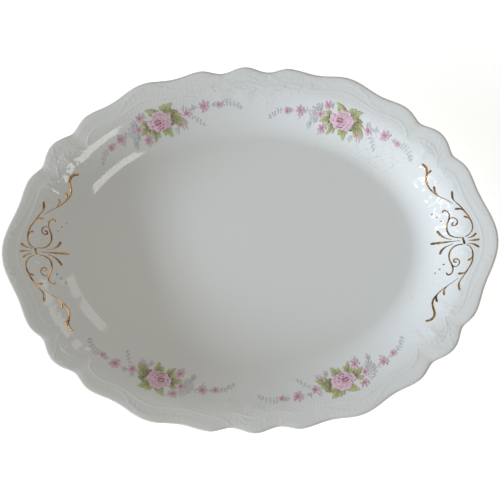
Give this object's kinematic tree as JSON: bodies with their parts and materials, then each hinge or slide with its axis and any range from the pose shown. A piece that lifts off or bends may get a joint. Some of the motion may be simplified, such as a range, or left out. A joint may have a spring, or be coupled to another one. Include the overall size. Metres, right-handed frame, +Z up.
{
  "type": "china serving platter",
  "caption": "Oval china platter with a scalloped, cord-moulded rim, a flat well and a foot ring, with floral transfers and gilt scrolls on the rim.",
  "frame": {"origin": "centre of the foot ring, on the plane that the platter stands on", "axes": "+X along the long axis of the oval, +Y along the short axis, +Z up out of the well"},
  "size_m": [0.342, 0.254, 0.0348],
  "materials": {
    "glazed_china": "opaque white earthenware under a clear glossy glaze, lightly crazed",
    "floral_print": "overglaze enamel print in pink, green, maroon and grey, slightly less glossy than the glaze",
    "gilding": "thin burnished bright gold, a little worn"
  },
  "bodies": {
    "root": {"platter_body": "glazed_china", "floral_transfer_back_left": "floral_print", "floral_transfer_back_right": "floral_print", "floral_transfer_front_left": "floral_print", "floral_transfer_front_right": "floral_print", "gilt_left_dot_back_1": "gilding", "gilt_left_dot_back_2": "gilding", "gilt_left_dot_back_3": "gilding", "gilt_left_dot_front_1": "gilding", "gilt_left_dot_front_2": "gilding", "gilt_left_dot_front_3": "gilding", "gilt_left_fan_inner_back": "gilding", "gilt_left_fan_inner_front": "gilding", "gilt_left_fan_inner_middle": "gilding", "gilt_left_fan_outer_back": "gilding", "gilt_left_fan_outer_front": "gilding", "gilt_left_fan_outer_middle": "gilding", "gilt_left_plume_back": "gilding", "gilt_left_plume_front": "gilding", "gilt_left_ring_back": "gilding", "gilt_left_ring_front": "gilding", "gilt_left_tie": "gilding", "gilt_left_volute_back": "gilding", "gilt_left_volute_front": "gilding", "gilt_right_dot_back_1": "gilding", "gilt_right_dot_back_2": "gilding", "gilt_right_dot_back_3": "gilding", "gilt_right_dot_front_1": "gilding", "gilt_right_dot_front_2": "gilding", "gilt_right_dot_front_3": "gilding", "gilt_right_fan_inner_back": "gilding", "gilt_right_fan_inner_front": "gilding", "gilt_right_fan_inner_middle": "gilding", "gilt_right_fan_outer_back": "gilding", "gilt_right_fan_outer_front": "gilding", "gilt_right_fan_outer_middle": "gilding", "gilt_right_plume_back": "gilding", "gilt_right_plume_front": "gilding", "gilt_right_ring_back": "gilding", "gilt_right_ring_front": "gilding", "gilt_right_tie": "gilding", "gilt_right_volute_back": "gilding", "gilt_right_volute_front": "gilding"}
  },
  "joints": []
}
